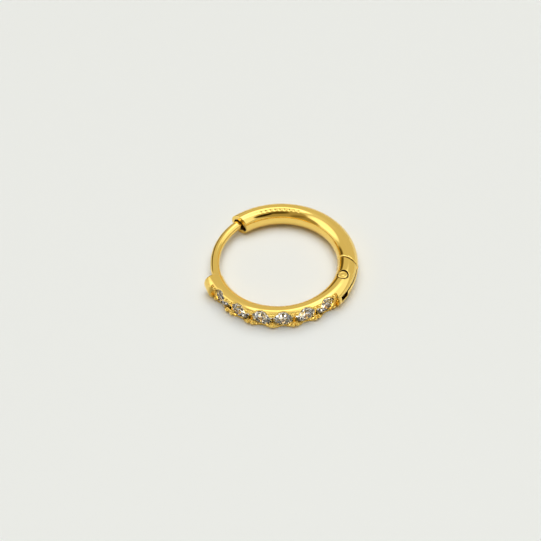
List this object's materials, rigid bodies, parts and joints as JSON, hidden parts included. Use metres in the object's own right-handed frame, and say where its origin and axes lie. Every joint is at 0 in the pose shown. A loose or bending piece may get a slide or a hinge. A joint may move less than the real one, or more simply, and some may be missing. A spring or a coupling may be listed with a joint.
{
  "type": "jewelled hoop earring",
  "caption": "Small hinged hoop earring with a row of round prong-set stones and a curved ear wire that closes into the hoop's open end.",
  "frame": {"origin": "centre of the box round the closed hoop, at its lowest level: the hoop lies on its side", "axes": "+Z along the hoop's axis and the hinge pin, upwards; -Y towards the row of stones; the ear wire is on the -X side"},
  "size_m": [0.016, 0.0158, 0.0024],
  "materials": {
    "gold": "polished gold plate",
    "stones": "clear faceted stone"
  },
  "bodies": {
    "back": {"back_tube": "gold"},
    "front": {"front_segment": "gold", "ear_wire": "gold", "hinge_pin": "gold", "stone_1": "stones", "stone_2": "stones", "stone_3": "stones", "stone_4": "stones", "stone_5": "stones", "stone_6": "stones"}
  },
  "joints": [
    {"name": "hinge", "type": "hinge", "parent": "back", "child": "front", "pos_m": [0.00616, -0.00315, 0.0012], "axis": [0, 0, 1], "range_deg": [0, 60]}
  ]
}
